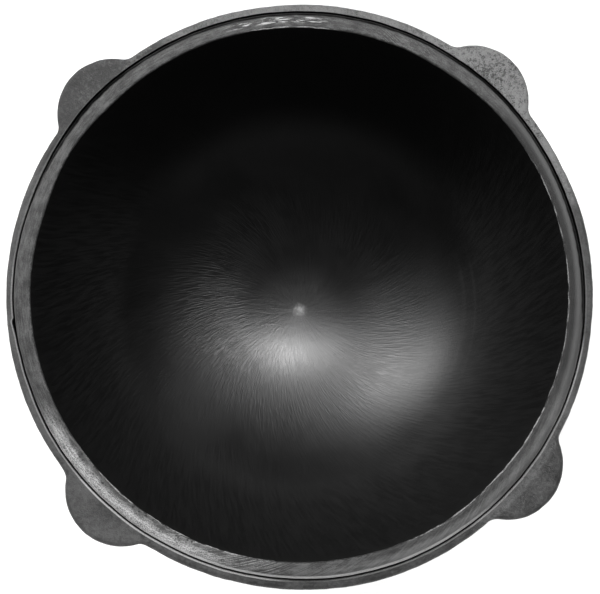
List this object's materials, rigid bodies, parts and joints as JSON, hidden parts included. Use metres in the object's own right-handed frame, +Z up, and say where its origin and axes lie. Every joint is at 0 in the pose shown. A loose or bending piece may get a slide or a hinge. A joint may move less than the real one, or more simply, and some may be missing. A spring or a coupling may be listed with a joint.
{
  "type": "kazan",
  "caption": "Round-bottomed cast cauldron with a turned bowl, a raised flat lip and a flange with flat ears, for cooking over a hearth or burner.",
  "frame": {"origin": "centre of the small ground flat under the round bottom, on the surface it rests on", "axes": "+Z up through the bowl's middle and the opening; the four ears point diagonally between +X, +Y, -X and -Y, and -Y is the side nearest the viewer"},
  "size_m": [0.407, 0.4069, 0.182],
  "materials": {
    "cast_iron": "bare grey iron: turned satin inside, ground lip, as-cast outside"
  },
  "bodies": {
    "root": {"kazan": "cast_iron"}
  },
  "joints": []
}
